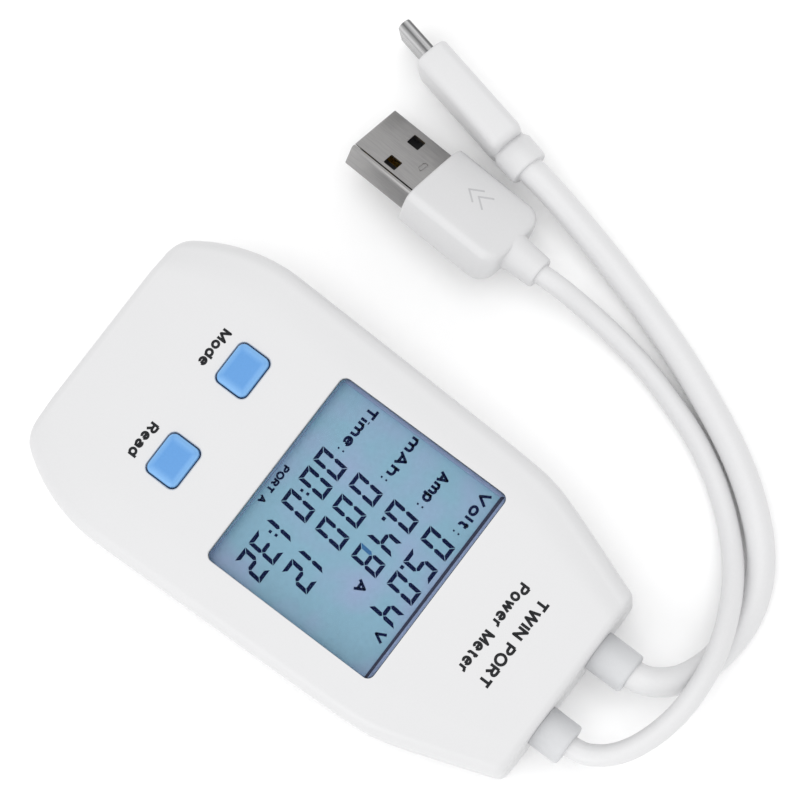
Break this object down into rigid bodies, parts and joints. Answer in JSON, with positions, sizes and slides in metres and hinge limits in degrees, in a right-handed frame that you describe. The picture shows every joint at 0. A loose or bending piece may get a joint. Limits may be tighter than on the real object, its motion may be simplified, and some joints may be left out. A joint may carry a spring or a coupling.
{
  "type": "usb power meter",
  "caption": "Handheld inline USB power meter: white split case with a backlit display and push buttons, output sockets at the far end and short captive cables with plugs.",
  "frame": {"origin": "middle of the case's underside, where the meter lies on a table, cables not counted", "axes": "+Z out of the display, +Y along the case towards the cables, +X to the right when the display is read with the cables away from the reader"},
  "size_m": [0.0981, 0.1098, 0.0183],
  "materials": {
    "white_abs": "fine satin moulded",
    "clear_window": "clear polished",
    "button_plastic": "satin",
    "foam": "matt",
    "polariser": "satin",
    "lcd_glass": "polished",
    "diffuser": "satin",
    "led": "gloss",
    "white_nylon": "moulded",
    "board_laminate": "solder mask",
    "chip_epoxy": "matt moulded",
    "ceramic": "fired",
    "black_plastic": "moulded",
    "zinc_screw": "zinc plated",
    "nickel_steel": "nickel plated",
    "tin_pin": "tinned",
    "gold_contact": "gold plated",
    "white_tpe": "satin moulded",
    "white_pvc": "satin extruded",
    "red_core": "satin extruded",
    "dark_core": "satin extruded"
  },
  "bodies": {
    "case": {"back_cover": "white_abs", "front_cover": "white_abs", "case_screws": "zinc_screw", "display_window": "clear_window", "display_gasket": "foam", "lcd_polariser": "polariser", "lcd_glass": "lcd_glass", "lcd_pins": "tin_pin", "light_guide": "diffuser", "backlight_led": "led", "lcd_holder": "white_nylon", "main_board": "board_laminate", "board_screws": "zinc_screw", "microcontroller": "chip_epoxy", "crystal": "nickel_steel", "voltage_regulator": "chip_epoxy", "current_shunt": "chip_epoxy", "capacitors": "ceramic", "resistors": "chip_epoxy", "mode_switch_body": "black_plastic", "read_switch_body": "black_plastic", "usb_a_socket_shell": "nickel_steel", "usb_a_socket_insulator": "white_nylon", "usb_a_socket_contacts": "gold_contact", "usb_c_socket_shell": "nickel_steel", "usb_c_socket_insulator": "black_plastic", "usb_c_socket_contacts": "gold_contact", "usb_a_strain_relief": "white_tpe", "usb_a_cable": "white_pvc", "usb_a_cable_wires": "red_core", "usb_a_plug_overmould": "white_tpe", "usb_a_plug_shell": "nickel_steel", "usb_a_plug_insulator": "black_plastic", "usb_a_plug_contacts": "gold_contact", "usb_c_strain_relief": "white_tpe", "usb_c_cable": "white_pvc", "usb_c_cable_wires": "dark_core", "usb_c_plug_overmould": "white_tpe", "usb_c_plug_shell": "nickel_steel", "usb_c_plug_insulator": "black_plastic", "usb_c_plug_contacts": "gold_contact"},
    "mode_key": {"mode_button": "button_plastic", "mode_switch_plunger": "black_plastic"},
    "read_key": {"read_button": "button_plastic", "read_switch_plunger": "black_plastic"}
  },
  "joints": [
    {"name": "mode_press", "type": "slide", "parent": "case", "child": "mode_key", "axis": [0, 0, -1], "range_m": [0, 0.0004], "stiffness_N_per_m": 2500, "springref_m": -0.0001},
    {"name": "read_press", "type": "slide", "parent": "case", "child": "read_key", "axis": [0, 0, -1], "range_m": [0, 0.0004], "stiffness_N_per_m": 2500, "springref_m": -0.0001}
  ]
}
